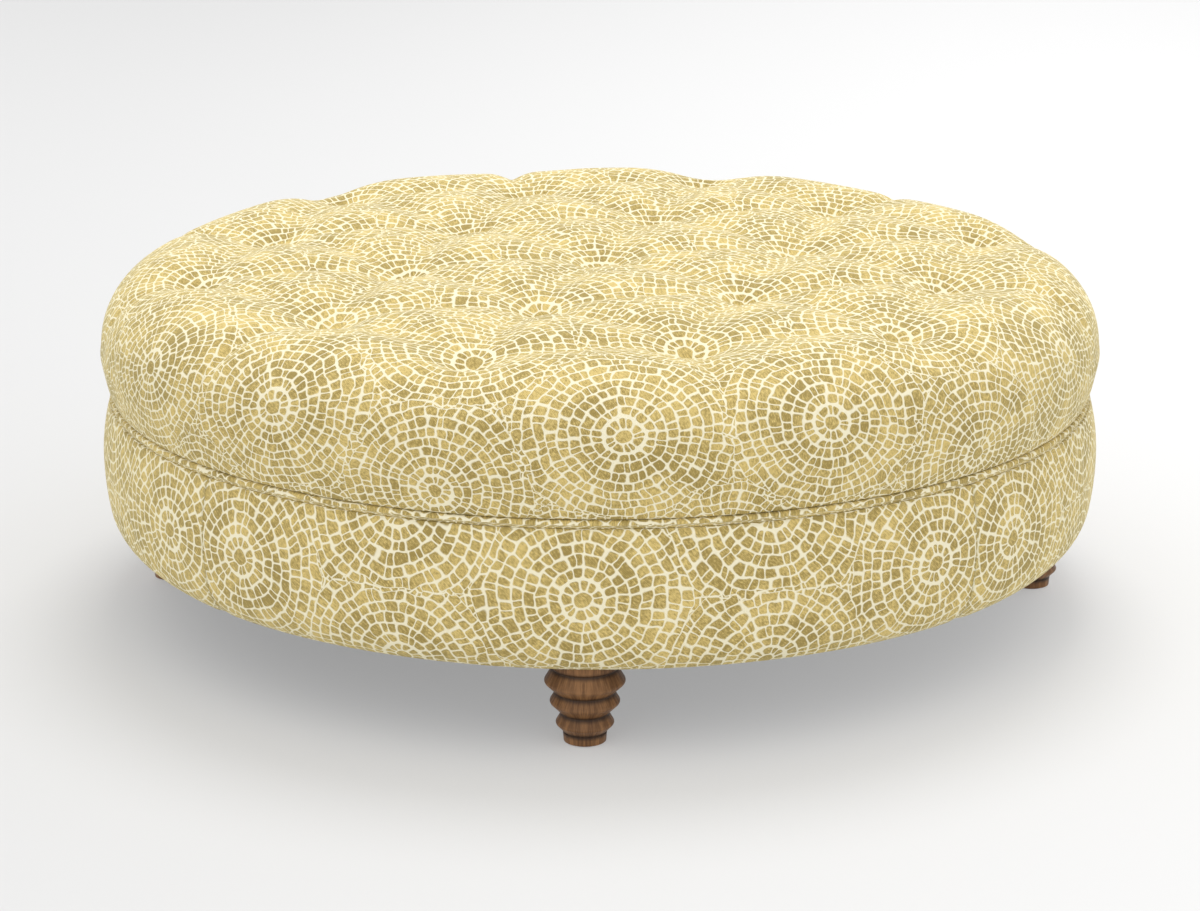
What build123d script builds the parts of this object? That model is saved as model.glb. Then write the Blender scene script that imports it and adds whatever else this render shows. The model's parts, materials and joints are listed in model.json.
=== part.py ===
from build123d import *

import os
from math import asin, cos, degrees, hypot, radians, sin, sqrt, tan

# Round tufted ottoman coffee table on four turned legs, in millimetres.
# The origin is on the floor under the centre, +Z is up, and a leg stands on each of the
# X and Y axes. The padded base and the tufted cushion are two units, joined at the welt.

# Padded base, seen on the cover's outer face
base_radius = 610.6
base_widest_height = 192.7
base_underside = 97.7
base_top = 261.0
base_upper_bow_radius = 225.0
base_turn_height = 135.0
base_turn_inset = 5.0
base_turn_radius = 58.0

# Tufted cushion, seen on the cover's outer face
cushion_radius = 608.0
cushion_widest_height = 329.65
cushion_roll_radius = 95.4
cushion_tuck_radius = 72.4
cushion_side_lean = 11.5
cushion_edge_round = 4.0
cushion_crown = 4.0

# Tufts, on a triangular lattice turned away from the legs
tuft_spacing = 247.0
tuft_turn = 15.0
tuft_rings = 2
tuft_ring_corners = 6
tuft_depth = 42.0
tuft_throat_radius = 9.0
tuft_reach = 122.5
tuft_drop = 34.0
tuft_rise = 0.5

# Pleats, from the outer tufts over the edge
pleat_depth = 13.0
pleat_half_width = 60.0
pleat_rise = 0.5
pleat_fade = 3.0
pleat_clearance_above = 25.0

# Cloth and padding
cover_thickness = 1.4
cloth_gap = 0.3
batting_thickness = 10.0
dust_cover_thickness = 0.8
dust_cover_radius = 574.0
lower_hem_radius = 500.0
upper_hem_radius = 545.0
panel_count = 4
panel_seam_gap = 0.6

# Welt at the waist
welt_radius = 592.0
welt_cord_radius = 3.6
welt_cover_thickness = 1.05
welt_flange_thickness = 1.6
welt_flange_inner_radius = 550.0
welt_clearance = 0.3
tack_strip_thickness = 1.2
tack_strip_inner_radius = 546.0
tack_strip_outer_radius = 562.0

# Wooden frame
board_radius = 568.0
bottom_board_thickness = 18.0
deck_radius = 562.0
deck_thickness = 15.0
deck_edge_round = 2.5
top_ring_thickness = 18.0
top_ring_inner_radius = 520.0
hoop_thickness = 5.0
hoop_joint_gap = 1.0
upright_count = 8
upright_width = 38.0
upright_depth = 38.0
rail_thickness = 18.0
rail_offset = 151.3
rail_half_length = 492.0
rail_joint_clearance = 0.2
rail_screw_offset = 310.0
vent_radius = 55.0
vent_circle_radius = 320.0
wood_clearance = 0.3

# Turned legs: heights above the foot, with the radius there
leg_circle_radius = 541.0
glide_thickness = 1.5
glide_radius = 20.0
glide_pin_radius = 1.2
glide_pin_length = 14.0
foot_base_radius = 23.4
foot_top_radius = 24.2
foot_height = 9.5
bead_radii = (32.7, 39.2, 45.2)
bead_heights = (20.6, 45.2, 68.9)
neck_radii = (26.0, 32.5, 36.0)
neck_heights = (32.0, 56.4, 84.6)
lowest_neck_radius = 23.4
lowest_neck_height = 10.6
bead_rim_round = 3.0
neck_round = 1.2
collar_radius = 38.5
collar_rise = 2.6

# Leg fixings
bolt_radius = 4.0
bolt_clearance = 0.15
bolt_wood_length = 36.0
bolt_tip = 2.0
bolt_rise = 3.0
tee_nut_flange_radius = 11.0
tee_nut_flange_thickness = 1.5
tee_nut_barrel_radius = 5.6
tee_nut_barrel_length = 12.0
leg_block_width = 100.0
leg_block_depth = 80.0
leg_block_thickness = 18.0
leg_block_corner_round = 6.0
leg_block_margin = 3.0

# Screws, brads and staples
screw_radius = 2.0
screw_head_radius = 4.2
screw_head_depth = 2.6
screw_tip = 3.0
screw_hole_clearance = 0.1
base_screw_length = 50.0
deck_screw_length = 32.0
deck_screw_radius = 533.0
brad_radius = 0.9
brad_head_radius = 2.0
brad_head_depth = 1.2
brad_length = 25.0
brad_end_margin = 35.0
staple_crown = 10.0
staple_wire_width = 1.2
staple_wire_depth = 0.8
staple_leg = 9.0
staple_count = 24
hem_staple_radius = 520.0
dust_staple_radius = 560.0
ring_staple_radius = 558.5
strip_staple_radius = 555.0
cushion_staple_radius = 551.0

# Tufting twine and its washers
twine_radius = 1.25
twine_hole_radius = 1.8
knot_radius = 2.4
washer_radius = 11.0
washer_thickness = 1.6

# Heights worked out from the sizes above
hem_bottom = base_underside
bottom_board_low = hem_bottom + cover_thickness
bottom_board_high = bottom_board_low + bottom_board_thickness
leg_top = base_underside - dust_cover_thickness
leg_foot = glide_thickness
top_ring_high = base_top - cover_thickness
top_ring_low = top_ring_high - top_ring_thickness
welt_flange_high = base_top + welt_flange_thickness
strip_high = welt_flange_high + tack_strip_thickness
cushion_hem_low = strip_high
deck_low = cushion_hem_low + cover_thickness
deck_high = deck_low + deck_thickness
welt_cover_radius = welt_cord_radius + welt_cover_thickness
welt_height = base_top + welt_cover_radius
cushion_shoulder_radius = cushion_radius - cushion_roll_radius
cushion_shoulder_height = cushion_widest_height + cushion_roll_radius
leg_block_high = bottom_board_high + leg_block_thickness
hoop_outer_radius = board_radius + hoop_thickness
padding_inner_radius = hoop_outer_radius + cloth_gap
padding_inset = cover_thickness + cloth_gap
batting_inset = cover_thickness + cloth_gap
foam_inset = batting_inset + batting_thickness + cloth_gap
washer_low = deck_low - washer_thickness
upright_centre_radius = sqrt(board_radius**2 - (upright_width / 2) ** 2) - upright_depth / 2 - wood_clearance
leg_block_outer = sqrt(board_radius**2 - (leg_block_width / 2) ** 2) - leg_block_margin
leg_names = {"right": 0, "back": 90, "left": 180, "front": 270}
full_turn = 360.0
half_staple_step = full_turn / staple_count / 2
half_pleat_step = full_turn / tuft_ring_corners / 2
cut_overrun = 5.0


def save(builder, name):
    """Labels a finished piece and writes its file."""
    builder.part.label = name
    export_step(builder.part, f"parts/{name}.step")


def radial_plane(angle):
    """The upright plane through the axis at that angle: local x runs outwards, local y up."""
    outwards = (cos(radians(angle)), sin(radians(angle)), 0)
    sideways = (sin(radians(angle)), -cos(radians(angle)), 0)
    return Plane(origin=(0, 0, 0), x_dir=outwards, z_dir=sideways)


def circle_point(radius, angle):
    """The point at that radius and angle about the axis."""
    return radius * cos(radians(angle)), radius * sin(radians(angle))


def bow_radius(half_chord, rise):
    """The radius of an arc that rises that much over half its chord."""
    return (half_chord**2 + rise**2) / (2 * rise)


# The base's side is three arcs: a bow above its widest line, a flatter bow below it,
# and the tight turn under to the hem.
base_lower_bow_radius = bow_radius(base_widest_height - base_turn_height, base_turn_inset)
base_turn_angle = asin((base_widest_height - base_turn_height) / base_lower_bow_radius)
base_turn_slide = base_lower_bow_radius - base_turn_radius
base_turn_centre = (
    base_radius - base_lower_bow_radius + base_turn_slide * cos(base_turn_angle),
    base_widest_height - base_turn_slide * sin(base_turn_angle),
)


def base_section(inset, low, high):
    """Half the base's section, from the axis to its side, inset from the cover's face."""
    upper = base_upper_bow_radius - inset
    lower = base_lower_bow_radius - inset
    turn = base_turn_radius - inset
    rise_angle = degrees(asin((high - base_widest_height) / upper))
    turn_angle = degrees(base_turn_angle)
    end_angle = degrees(asin((base_turn_centre[1] - low) / turn))
    upper_centre = (base_radius - base_upper_bow_radius, base_widest_height)
    lower_centre = (base_radius - base_lower_bow_radius, base_widest_height)
    with BuildSketch() as section:
        with BuildLine():
            shoulder = CenterArc(upper_centre, upper, 0, rise_angle)
            CenterArc(lower_centre, lower, -turn_angle, turn_angle)
            under = CenterArc(base_turn_centre, turn, -end_angle, end_angle - turn_angle)
            Polyline(shoulder @ 1, (0, high), (0, low), under @ 0)
        make_face()
    return section.sketch_local


def clear_centre(radius, low, high):
    """Takes the section's middle out, from the axis to a radius, between two heights."""
    with Locations((0, low)):
        Rectangle(radius, high - low, align=(Align.MIN, Align.MIN), mode=Mode.SUBTRACT)


def crown_height(radius):
    """The height of the cushion's crown at a radius, before any tuft is drawn in."""
    share_out = min(radius / cushion_shoulder_radius, 1)
    return cushion_shoulder_height + cushion_crown * (1 - share_out**2)


def cushion_section(inset, low):
    """Half the cushion's section: crown, round roll and a side that leans in to sit on the welt."""
    tuck_centre = (cushion_radius - cushion_tuck_radius, cushion_widest_height)
    roll_centre = (cushion_shoulder_radius, cushion_widest_height)
    half_way = cushion_shoulder_radius / 2
    rest_radius = welt_radius - welt_cover_radius - welt_clearance - inset
    rest_height = welt_height + welt_cover_radius + welt_clearance + inset
    edge_height = max(low, rest_height)
    with BuildSketch() as section:
        with BuildLine():
            tuck = CenterArc(tuck_centre, cushion_tuck_radius - inset, -cushion_side_lean, cushion_side_lean)
            roll = CenterArc(roll_centre, cushion_roll_radius - inset, 0, full_turn / 4)
            middle = (0, crown_height(0) - inset)
            ThreePointArc(roll @ 1, (half_way, crown_height(half_way) - inset), middle)
            lean = (tuck @ 0).Y - edge_height
            edge = ((tuck @ 0).X - lean * tan(radians(cushion_side_lean)), edge_height)
            if low < rest_height:
                Polyline(middle, (0, low), (rest_radius, low), (rest_radius, rest_height), edge, tuck @ 0)
            else:
                Polyline(middle, (0, low), edge, tuck @ 0)
        make_face()
        if inset < cushion_edge_round:
            fillet(section.vertices().sort_by_distance(edge)[0], cushion_edge_round - inset)
    return section.sketch_local


def tuft_lattice():
    """The tufts' places: every lattice point up to the outer ring, turned by the tufts' angle."""
    steps = range(-tuft_rings, tuft_rings + 1)
    for i in steps:
        for j in steps:
            if abs(i + j) <= tuft_rings:
                along = tuft_spacing * (i + j / 2)
                across = tuft_spacing * j * sqrt(3) / 2
                turn = radians(tuft_turn)
                yield (along * cos(turn) - across * sin(turn), along * sin(turn) + across * cos(turn))


tuft_places = list(tuft_lattice())
tuft_tops = [(x, y, crown_height(hypot(x, y))) for x, y in tuft_places]


def tuft_cutter(inset):
    """The dimple that one tuft draws in: a domed funnel down to a narrow throat."""
    dome = bow_radius(tuft_reach - tuft_throat_radius, tuft_drop)
    throat = tuft_throat_radius + inset
    floor = -tuft_depth - inset

    def dome_height(radius):
        return tuft_rise - dome + sqrt((dome - inset) ** 2 - (tuft_reach - radius) ** 2)

    half_way = (throat + tuft_reach) / 2
    with BuildPart() as cutter:
        with BuildSketch(Plane.XZ):
            with BuildLine():
                rim = (tuft_reach, dome_height(tuft_reach))
                neck = (throat, dome_height(throat))
                ThreePointArc(rim, (half_way, dome_height(half_way)), neck)
                Polyline(neck, (throat, floor), (0, floor), (0, tuft_depth), (tuft_reach, tuft_depth), rim)
            make_face()
        revolve(axis=Axis.Z)
    return cutter.part


def pleat_cutter(inset, start_radius):
    """The groove of one pleat, from an outer tuft, over the roll and out down its side."""
    total_drop = pleat_depth + pleat_rise
    wall = bow_radius(pleat_half_width, total_drop)
    rim_height = cushion_shoulder_height + pleat_rise
    over = cushion_shoulder_height + pleat_clearance_above

    def wall_height(across):
        return rim_height - wall + sqrt((wall - inset) ** 2 - (pleat_half_width - abs(across)) ** 2)

    path_radius = cushion_roll_radius + pleat_fade
    pivot_height = cushion_shoulder_height - pleat_depth - path_radius
    half_way = pleat_half_width / 2
    with BuildPart() as cutter:
        with BuildSketch(Plane.YZ.offset(cushion_shoulder_radius)) as groove:
            with BuildLine():
                bottom = (0, wall_height(0))
                left = (-pleat_half_width, wall_height(pleat_half_width))
                right = (pleat_half_width, wall_height(pleat_half_width))
                ThreePointArc(bottom, (-half_way, wall_height(half_way)), left)
                ThreePointArc(bottom, (half_way, wall_height(half_way)), right)
                Polyline(left, (-pleat_half_width, over), (pleat_half_width, over), right)
            make_face()
        extrude(amount=start_radius - cushion_shoulder_radius)
        pivot = Axis((cushion_shoulder_radius, 0, pivot_height), (0, 1, 0))
        revolve(groove.faces(), axis=pivot, revolution_arc=-full_turn / 4)
    return cutter.part


def tufted_body(inset, low):
    """The closed cushion, inset from the cover's face, with every tuft and pleat drawn in."""
    tuft_cut = tuft_cutter(inset)
    corner_pleat = pleat_cutter(inset, tuft_rings * tuft_spacing)
    middle_pleat = pleat_cutter(inset, tuft_rings * tuft_spacing * cos(radians(half_pleat_step)))
    with BuildPart() as body:
        with BuildSketch(Plane.XZ):
            add(cushion_section(inset, low))
        revolve(axis=Axis.Z)
        with Locations(*tuft_tops):
            add(tuft_cut, mode=Mode.SUBTRACT)
        with PolarLocations(0, tuft_ring_corners, start_angle=tuft_turn):
            add(corner_pleat, mode=Mode.SUBTRACT)
        with PolarLocations(0, tuft_ring_corners, start_angle=tuft_turn + half_pleat_step):
            add(middle_pleat, mode=Mode.SUBTRACT)
    return body.part


def screw(length, clearance=0):
    """A countersunk screw whose head is level with z 0 and whose shank runs up, or its hole."""
    head = screw_head_radius + clearance
    shank = screw_radius + clearance
    with BuildPart() as made:
        with BuildSketch(Plane.XZ):
            Polygon(
                (0, 0),
                (head, 0),
                (shank, screw_head_depth),
                (shank, length - screw_tip),
                (0, length + clearance),
                align=None,
            )
        revolve(axis=Axis.Z)
    return made.part


def staple(clearance=0):
    """A staple with its crown level with z 0, along y, and its legs driven up, or its slot."""
    wire = staple_wire_width + 2 * clearance
    reach = staple_leg + clearance
    with BuildPart() as made:
        with Locations((0, 0, staple_wire_depth / 2)):
            Box(wire, staple_crown + 2 * clearance, staple_wire_depth + 2 * clearance)
        side = (staple_crown - staple_wire_depth) / 2
        with Locations((0, side, 0), (0, -side, 0)):
            leg_wire = staple_wire_depth + 2 * clearance
            Box(wire, leg_wire, reach, align=(Align.CENTER, Align.CENTER, Align.MIN))
    return made.part


def tool_ring(tool, radius, height, start=0, count=staple_count, mode=Mode.ADD, flip=False):
    """Adds or cuts a ring of copies of a tool at a height, each turned with its place."""
    turn = (full_turn / 2, 0, 0) if flip else (0, 0, 0)
    with PolarLocations(radius, count, start_angle=start):
        with Locations(Location((0, 0, height), turn)):
            add(tool, mode=mode)


staple_solid = staple()
staple_slot = staple(screw_hole_clearance)

# The rows of staples: their circle, their crown's outer face and their first angle
hem_row = (hem_staple_radius, hem_bottom, half_staple_step)
dust_row = (dust_staple_radius, leg_top, half_staple_step)
ring_row = (ring_staple_radius, base_top, half_staple_step)
strip_row = (strip_staple_radius, strip_high, 0)
cushion_row = (cushion_staple_radius, cushion_hem_low, half_staple_step / 2)


def slots(row, flip=False):
    """Cuts one row's slots into the piece in hand."""
    tool_ring(staple_slot, *row, mode=Mode.SUBTRACT, flip=flip)


def leg_section():
    """Half the leg's turned section, from its foot up: three lens-shaped beads on a plain foot."""
    rims = [(radius, leg_foot + height) for radius, height in zip(bead_radii, bead_heights)]
    necks = [(radius, leg_foot + height) for radius, height in zip(neck_radii, neck_heights)]
    with BuildSketch() as section:
        with BuildLine():
            Polyline(
                (0, leg_foot),
                (foot_base_radius, leg_foot),
                (foot_top_radius, leg_foot + foot_height),
                (lowest_neck_radius, leg_foot + lowest_neck_height),
                rims[0],
                necks[0],
                rims[1],
                necks[1],
                rims[2],
                necks[2],
                (collar_radius, necks[2][1] + collar_rise),
                (collar_radius, leg_top),
                (0, leg_top),
                (0, leg_foot),
            )
        make_face()
        for corner in rims:
            fillet(section.vertices().sort_by_distance(corner)[0], bead_rim_round)
        for corner in necks:
            fillet(section.vertices().sort_by_distance(corner)[0], neck_round)
    return section.sketch_local


os.makedirs("parts", exist_ok=True)

# Legs, each with the hole for its hanger bolt and for its glide's pin
bolt_hole_radius = bolt_radius + bolt_clearance
for name, angle in leg_names.items():
    x, y = circle_point(leg_circle_radius, angle)
    with BuildPart() as leg:
        with BuildSketch(Plane.XZ):
            add(leg_section())
        revolve(axis=Axis.Z)
        with Locations((0, 0, leg_top - bolt_wood_length)):
            Cylinder(
                bolt_hole_radius,
                bolt_wood_length,
                align=(Align.CENTER, Align.CENTER, Align.MIN),
                mode=Mode.SUBTRACT,
            )
        with Locations((0, 0, leg_foot)):
            Cylinder(
                glide_pin_radius + screw_hole_clearance,
                glide_pin_length,
                align=(Align.CENTER, Align.CENTER, Align.MIN),
                mode=Mode.SUBTRACT,
            )
    with BuildPart() as placed_leg:
        add(leg.part.located(Location((x, y, 0), (0, 0, angle))))
    save(placed_leg, f"leg_{name}")

# Glides: a thin disc under each foot, with the pin that is driven into it
with BuildPart() as glides:
    with PolarLocations(leg_circle_radius, len(leg_names)):
        Cylinder(glide_radius, glide_thickness, align=(Align.CENTER, Align.CENTER, Align.MIN))
        Cylinder(
            glide_pin_radius,
            glide_thickness + glide_pin_length - glide_pin_radius,
            align=(Align.CENTER, Align.CENTER, Align.MIN),
        )
save(glides, "leg_glides")

# Hanger bolts: a wood thread down into the leg and a machine thread up into the tee nut
bolt_low = leg_top - bolt_wood_length + bolt_clearance
bolt_high = leg_block_high + bolt_rise
with BuildPart() as bolts:
    with BuildSketch(Plane.XZ):
        Polygon(
            (0, bolt_low),
            (bolt_tip, bolt_low),
            (bolt_radius, bolt_low + bolt_tip),
            (bolt_radius, bolt_high - bolt_clearance),
            (bolt_radius - bolt_clearance, bolt_high),
            (0, bolt_high),
            align=None,
        )
    revolve(axis=Axis.Z)
with BuildPart() as hanger_bolts:
    with PolarLocations(leg_circle_radius, len(leg_names)):
        add(bolts.part)
save(hanger_bolts, "hanger_bolts")

# Tee nuts: a barrel down through the leg block, with its flange on top of the block
with BuildPart() as tee_nuts:
    with PolarLocations(leg_circle_radius, len(leg_names)):
        with Locations((0, 0, leg_block_high)):
            Cylinder(
                tee_nut_flange_radius,
                tee_nut_flange_thickness,
                align=(Align.CENTER, Align.CENTER, Align.MIN),
            )
            Cylinder(
                tee_nut_barrel_radius,
                tee_nut_barrel_length,
                align=(Align.CENTER, Align.CENTER, Align.MAX),
            )
            Cylinder(bolt_hole_radius, leg_top, mode=Mode.SUBTRACT)
save(tee_nuts, "tee_nuts")


def bolt_holes():
    """Cuts the hanger bolts' holes through the piece in hand."""
    with PolarLocations(leg_circle_radius, len(leg_names)):
        Cylinder(
            bolt_hole_radius,
            leg_block_high + cut_overrun,
            align=(Align.CENTER, Align.CENTER, Align.MIN),
            mode=Mode.SUBTRACT,
        )


# Leg blocks, glued inside on the bottom board
for name, angle in leg_names.items():
    with BuildPart() as block:
        with Locations((leg_block_outer - leg_block_depth / 2, 0, bottom_board_high)):
            Box(
                leg_block_depth,
                leg_block_width,
                leg_block_thickness,
                align=(Align.CENTER, Align.CENTER, Align.MIN),
            )
        fillet(block.edges().filter_by(Axis.Z), leg_block_corner_round)
        bolt_holes()
        with Locations((leg_circle_radius, 0, leg_block_high)):
            Cylinder(
                tee_nut_barrel_radius + screw_hole_clearance,
                tee_nut_barrel_length + screw_hole_clearance,
                align=(Align.CENTER, Align.CENTER, Align.MAX),
                mode=Mode.SUBTRACT,
            )
    with BuildPart() as placed_block:
        add(block.part.located(Location((0, 0, 0), (0, 0, angle))))
    save(placed_block, f"leg_block_{name}")

# Screws: from the board's underside up into the uprights and rails, from the ring down
# into the uprights, and from the ring up into the deck
screw_solid = screw(base_screw_length)
screw_hole = screw(base_screw_length, screw_hole_clearance)
deck_screw_solid = screw(deck_screw_length)
deck_screw_hole = screw(deck_screw_length, screw_hole_clearance)
upright_start = full_turn / upright_count / 2
deck_screw_start = upright_start / 2
rail_screw_spots = [
    (side * rail_offset, end * rail_screw_offset, bottom_board_low)
    for side in (-1, 1)
    for end in (-1, 1)
]
rail_screw_places = rail_screw_spots + [(y, x, z) for x, y, z in rail_screw_spots]


def upright_screws(tool, mode=Mode.ADD):
    """Adds or cuts the screws that hold the uprights, from below and from above."""
    tool_ring(tool, upright_centre_radius, bottom_board_low, upright_start, upright_count, mode)
    tool_ring(tool, upright_centre_radius, top_ring_high, upright_start, upright_count, mode, True)


def rail_screws(tool, mode=Mode.ADD):
    """Adds or cuts the screws that hold the rails, from below."""
    with Locations(*rail_screw_places):
        add(tool, mode=mode)


def deck_screws(tool, mode=Mode.ADD):
    """Adds or cuts the screws that hold the cushion's deck, from below the top ring."""
    tool_ring(tool, deck_screw_radius, top_ring_low, deck_screw_start, upright_count, mode)


with BuildPart() as frame_screws:
    upright_screws(screw_solid)
    rail_screws(screw_solid)
save(frame_screws, "frame_screws")

with BuildPart() as cushion_screws:
    deck_screws(deck_screw_solid)
save(cushion_screws, "cushion_screws")

# Bottom board, a plywood disc with vents
with BuildPart() as bottom_board:
    with Locations((0, 0, bottom_board_low)):
        Cylinder(board_radius, bottom_board_thickness, align=(Align.CENTER, Align.CENTER, Align.MIN))
    vent_height = bottom_board_low + bottom_board_thickness / 2
    with Locations((0, 0, vent_height)):
        Cylinder(vent_radius, bottom_board_thickness + cut_overrun, mode=Mode.SUBTRACT)
    with PolarLocations(vent_circle_radius, len(leg_names)):
        with Locations((0, 0, vent_height)):
            Cylinder(vent_radius, bottom_board_thickness + cut_overrun, mode=Mode.SUBTRACT)
    bolt_holes()
    upright_screws(screw_hole, Mode.SUBTRACT)
    rail_screws(screw_hole, Mode.SUBTRACT)
    slots(hem_row)
    slots(dust_row)
save(bottom_board, "bottom_board")

# Uprights, screwed between the bottom board and the top ring
brad_heights = (bottom_board_high + brad_end_margin, top_ring_low - brad_end_margin)
brad_places = [(hoop_outer_radius, 0, height) for height in brad_heights]


def brad(clearance=0):
    """A brad whose head is level with the hoop's face and whose shank runs inwards, or its hole."""
    with BuildPart() as made:
        Cylinder(
            brad_radius + clearance,
            brad_length + clearance,
            rotation=(0, -full_turn / 4, 0),
            align=(Align.CENTER, Align.CENTER, Align.MIN),
        )
        Cylinder(
            brad_head_radius + clearance,
            brad_head_depth + clearance,
            rotation=(0, -full_turn / 4, 0),
            align=(Align.CENTER, Align.CENTER, Align.MIN),
        )
    return made.part


brad_solid = brad()
brad_hole = brad(screw_hole_clearance)


def brads(tool, mode=Mode.ADD):
    """Adds or cuts the brads that hold the hoop to the uprights."""
    with PolarLocations(0, upright_count, start_angle=upright_start):
        with Locations(*brad_places):
            add(tool, mode=mode)


for index in range(upright_count):
    angle = upright_start + index * full_turn / upright_count
    with BuildPart() as upright:
        with PolarLocations(upright_centre_radius, 1, start_angle=angle):
            with Locations((0, 0, bottom_board_high)):
                Box(
                    upright_depth,
                    upright_width,
                    top_ring_low - bottom_board_high,
                    align=(Align.CENTER, Align.CENTER, Align.MIN),
                )
        upright_screws(screw_hole, Mode.SUBTRACT)
        brads(brad_hole, Mode.SUBTRACT)
    save(upright, f"upright_{index + 1}")

# Rails: four boards on edge, half-lapped where they cross, that carry the deck
rail_height = deck_low - bottom_board_high
notch_height = rail_height / 2 + rail_joint_clearance
notch_width = rail_thickness + 2 * rail_joint_clearance


def rail(along_x, side, name):
    """One rail; those along x are notched from above and those along y from below."""
    turn = 0 if along_x else full_turn / 4
    notch_base = deck_low - notch_height if along_x else bottom_board_high
    cross_at = side * rail_offset
    with BuildPart() as made:
        with Locations(Location((0, 0, bottom_board_high), (0, 0, turn))):
            with Locations((0, cross_at, 0)):
                Box(
                    2 * rail_half_length,
                    rail_thickness,
                    rail_height,
                    align=(Align.CENTER, Align.CENTER, Align.MIN),
                )
        with Locations(Location((0, 0, notch_base), (0, 0, turn))):
            with Locations((-rail_offset, cross_at, 0), (rail_offset, cross_at, 0)):
                Box(
                    notch_width,
                    notch_width,
                    notch_height,
                    align=(Align.CENTER, Align.CENTER, Align.MIN),
                    mode=Mode.SUBTRACT,
                )
        rail_screws(screw_hole, Mode.SUBTRACT)
    save(made, name)


rail(True, -1, "rail_front")
rail(True, 1, "rail_back")
rail(False, -1, "rail_right")
rail(False, 1, "rail_left")

# Top ring, a plywood ring on the uprights
with BuildPart() as top_ring:
    with Locations((0, 0, top_ring_low)):
        Cylinder(board_radius, top_ring_thickness, align=(Align.CENTER, Align.CENTER, Align.MIN))
        Cylinder(
            top_ring_inner_radius,
            top_ring_thickness,
            align=(Align.CENTER, Align.CENTER, Align.MIN),
            mode=Mode.SUBTRACT,
        )
    upright_screws(screw_hole, Mode.SUBTRACT)
    deck_screws(deck_screw_hole, Mode.SUBTRACT)
    slots(ring_row, flip=True)
    slots(strip_row, flip=True)
save(top_ring, "top_ring")

# Side hoop, thin plywood bent round the frame, with one butt joint
hoop_gap_angle = degrees(hoop_joint_gap / board_radius)
with BuildPart() as side_hoop:
    with BuildSketch(radial_plane(full_turn / 8 + hoop_gap_angle / 2)):
        with Locations((board_radius, bottom_board_low)):
            Rectangle(
                hoop_thickness,
                top_ring_high - bottom_board_low,
                align=(Align.MIN, Align.MIN),
            )
    revolve(axis=Axis.Z, revolution_arc=full_turn - hoop_gap_angle)
    brads(brad_hole, Mode.SUBTRACT)
save(side_hoop, "side_hoop")

with BuildPart() as hoop_brads:
    brads(brad_solid)
save(hoop_brads, "hoop_brads")

# Base padding, foam round the hoop, thickest at the middle of its height
with BuildPart() as base_padding:
    with BuildSketch(Plane.XZ):
        add(base_section(padding_inset, bottom_board_low + cloth_gap, top_ring_high - cloth_gap))
        clear_centre(padding_inner_radius, 0, base_top)
    revolve(axis=Axis.Z)
save(base_padding, "base_padding")

# Base cover, four sewn panels turned under at the hem and in at the top
panel_angle = full_turn / panel_count
seam_angle = degrees(panel_seam_gap / base_radius)
for name, angle in leg_names.items():
    with BuildPart() as panel:
        with BuildSketch(radial_plane(angle - panel_angle / 2 + seam_angle / 2)):
            add(base_section(0, hem_bottom, base_top))
            add(base_section(cover_thickness, bottom_board_low, top_ring_high), mode=Mode.SUBTRACT)
            clear_centre(lower_hem_radius, 0, base_widest_height)
            clear_centre(upper_hem_radius, base_widest_height, base_top)
        revolve(axis=Axis.Z, revolution_arc=panel_angle - seam_angle)
        bolt_holes()
        slots(hem_row)
        slots(dust_row)
        slots(ring_row, flip=True)
        slots(strip_row, flip=True)
    save(panel, f"base_cover_{name}")

with BuildPart() as hem_staples:
    tool_ring(staple_solid, *hem_row)
save(hem_staples, "hem_staples")

with BuildPart() as base_cover_staples:
    tool_ring(staple_solid, *ring_row, flip=True)
save(base_cover_staples, "base_cover_staples")

# Dust cover, stapled under the base and held by the legs
with BuildPart() as dust_cover:
    with Locations((0, 0, leg_top)):
        Cylinder(dust_cover_radius, dust_cover_thickness, align=(Align.CENTER, Align.CENTER, Align.MIN))
    bolt_holes()
    slots(dust_row)
save(dust_cover, "dust_cover")

with BuildPart() as dust_cover_staples:
    tool_ring(staple_solid, *dust_row)
save(dust_cover_staples, "dust_cover_staples")

# Welt at the waist: a cord in its cloth cover, whose flange lies under the tack strip
with BuildPart() as welt_cover:
    with BuildSketch(Plane.XZ):
        with Locations((welt_radius, welt_height)):
            Circle(welt_cover_radius)
        with Locations((welt_flange_inner_radius, base_top)):
            Rectangle(
                welt_radius - welt_flange_inner_radius,
                welt_flange_thickness,
                align=(Align.MIN, Align.MIN),
            )
        with Locations((welt_radius, welt_height)):
            Circle(welt_cord_radius, mode=Mode.SUBTRACT)
    revolve(axis=Axis.Z)
    slots(strip_row, flip=True)
save(welt_cover, "welt_cover")

with BuildPart() as welt_cord:
    with BuildSketch(Plane.XZ):
        with Locations((welt_radius, welt_height)):
            Circle(welt_cord_radius)
    revolve(axis=Axis.Z)
save(welt_cord, "welt_cord")

with BuildPart() as tack_strip:
    with BuildSketch(Plane.XZ):
        with Locations((tack_strip_inner_radius, welt_flange_high)):
            Rectangle(
                tack_strip_outer_radius - tack_strip_inner_radius,
                tack_strip_thickness,
                align=(Align.MIN, Align.MIN),
            )
    revolve(axis=Axis.Z)
    slots(strip_row, flip=True)
save(tack_strip, "tack_strip")

with BuildPart() as tack_strip_staples:
    tool_ring(staple_solid, *strip_row, flip=True)
save(tack_strip_staples, "tack_strip_staples")

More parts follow.
